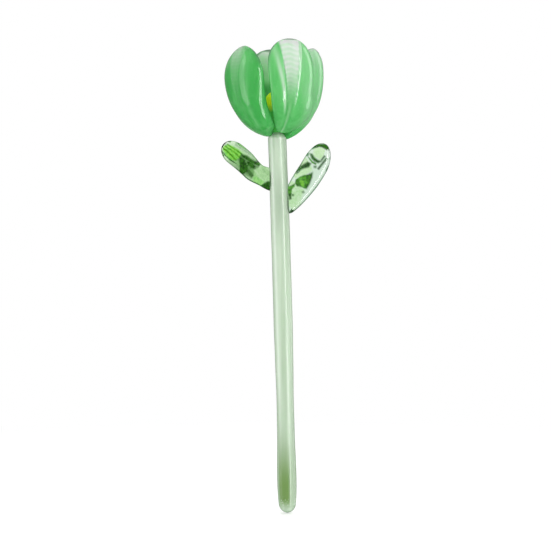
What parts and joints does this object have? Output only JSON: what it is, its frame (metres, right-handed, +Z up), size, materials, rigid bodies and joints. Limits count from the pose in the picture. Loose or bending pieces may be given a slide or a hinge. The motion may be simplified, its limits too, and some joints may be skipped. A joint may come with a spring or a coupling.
{
  "type": "glass flower ornament",
  "caption": "Miniature lampworked glass tulip: opal petals cupped round a pistil bead on a drawn rod stem with clear pressed leaves, an ornament that stands in a small vase.",
  "frame": {"origin": "lowest point of the stem's rounded foot", "axes": "+Z up the stem towards the bloom, -Y the side that faces the viewer, +X to the viewer's right"},
  "size_m": [0.037, 0.0331, 0.1582],
  "materials": {
    "stem_opal": "milky pale green, satin, greener and clearer at the foot",
    "pistil_yellow": "opaque yellow-green, fire polished",
    "petal_jade": "jade opal with milky streaks, fire polished",
    "leaf_clear_green": "clear green, pressed ridges, fire polished"
  },
  "bodies": {
    "root": {"stem_rod": "stem_opal", "pistil": "pistil_yellow", "petal_front": "petal_jade", "petal_right": "petal_jade", "petal_back": "petal_jade", "petal_back_left": "petal_jade", "petal_left": "petal_jade", "leaf_left": "leaf_clear_green", "leaf_right": "leaf_clear_green"}
  },
  "joints": []
}
